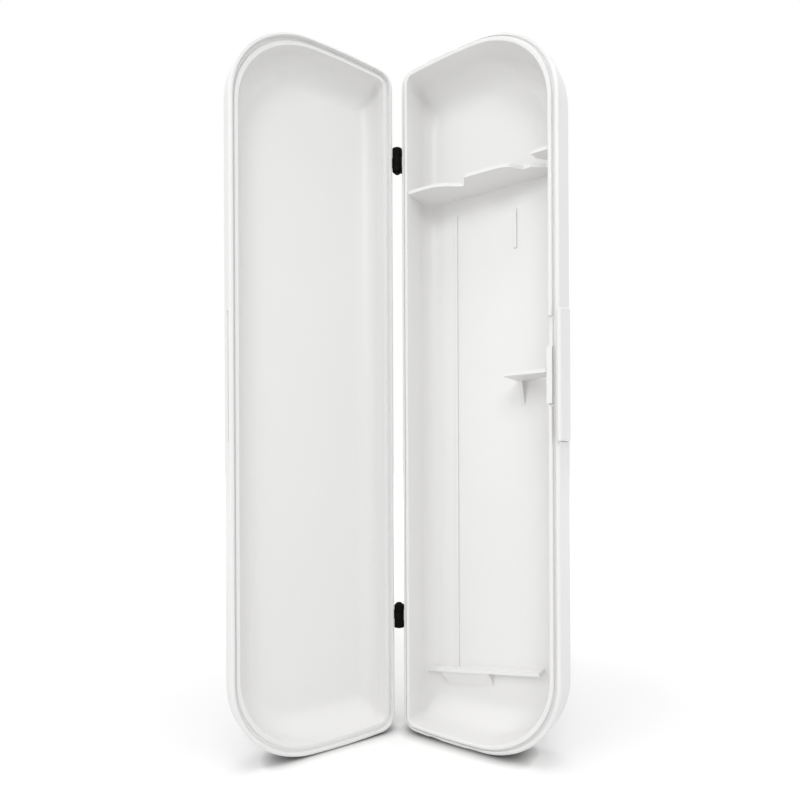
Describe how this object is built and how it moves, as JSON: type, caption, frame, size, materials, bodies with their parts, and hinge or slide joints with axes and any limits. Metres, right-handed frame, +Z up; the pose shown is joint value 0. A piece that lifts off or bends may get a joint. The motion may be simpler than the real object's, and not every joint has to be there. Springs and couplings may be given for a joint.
{
  "type": "electric toothbrush travel case",
  "caption": "Slim hard travel case for an electric toothbrush: two hinged moulded shells that stand open on their ends, with inner ribs, a shelf and a rocking side latch",
  "frame": {"origin": "on the floor under the middle of the open case's bounding box, as it stands on its two ends", "axes": "+Z up along the length of the case; the base's rim plane is parallel to XZ and faces -Y; the base's spine is at its -X side and its latch at its +X side"},
  "size_m": [0.0918, 0.0673, 0.2305],
  "materials": {
    "shell_white": "smooth moulded white plastic with a soft sheen",
    "latch_white": "smooth moulded white plastic with a soft sheen",
    "hinge_black": "black moulded plastic, satin",
    "pin_steel": "drawn steel wire",
    "spring_steel": "spring wire"
  },
  "bodies": {
    "base": {"base_shell": "shell_white", "upper_hinge_base_leaf": "hinge_black", "lower_hinge_base_leaf": "hinge_black", "upper_hinge_pin": "pin_steel", "lower_hinge_pin": "pin_steel", "latch_clip": "latch_white", "latch_pin": "pin_steel", "latch_spring": "spring_steel"},
    "lid": {"lid_shell": "shell_white", "upper_hinge_lid_leaf": "hinge_black", "lower_hinge_lid_leaf": "hinge_black"},
    "latch": {"latch_bar": "latch_white"}
  },
  "joints": [
    {"name": "lid_hinge", "type": "hinge", "parent": "base", "child": "lid", "pos_m": [-0.01311, 0.01878, 0.11525], "axis": [0, 0, 1], "range_deg": [-65.3, 114.7]},
    {"name": "latch_rock", "type": "hinge", "parent": "base", "child": "latch", "pos_m": [0.04389, 0.02138, 0.11945], "axis": [0, 0, 1], "range_deg": [0, 10], "stiffness_Nm_per_rad": 0.02}
  ]
}
